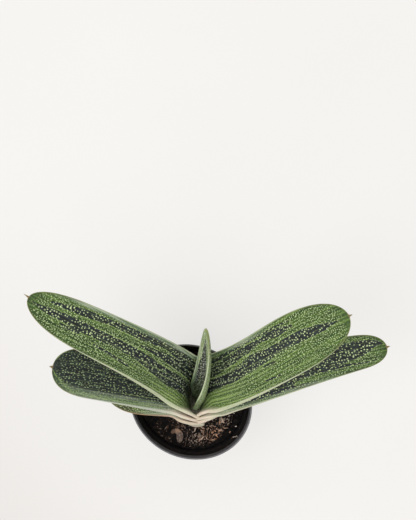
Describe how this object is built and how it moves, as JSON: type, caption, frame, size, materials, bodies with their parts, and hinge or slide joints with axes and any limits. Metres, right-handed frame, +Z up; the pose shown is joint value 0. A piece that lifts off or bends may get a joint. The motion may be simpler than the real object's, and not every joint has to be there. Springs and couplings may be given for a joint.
{
  "type": "potted gasteria",
  "caption": "Potted gasteria: a fan of broad, blunt, speckled succulent leaves in a round black nursery pot with soil.",
  "frame": {"origin": "centre of the pot's flat base, on the surface the pot stands on", "axes": "+Z up; +X along the fan of leaves, which is the plant's longest extent; +Y toward the side the shoot leans to; -Z out of the pot's base"},
  "size_m": [0.2541, 0.1297, 0.1895],
  "materials": {
    "pot": "satin",
    "soil": "matte",
    "bark": "matte",
    "stem": "matte",
    "leaf": "satin"
  },
  "bodies": {
    "root": {"pot": "pot", "soil": "soil", "bark_chip": "bark", "stem": "stem", "leaf_center": "leaf", "leaf_upper_right": "leaf", "leaf_upper_left": "leaf", "leaf_lower_right": "leaf", "leaf_lower_left": "leaf", "leaf_bottom_right": "leaf", "leaf_bottom_left": "leaf"}
  },
  "joints": []
}
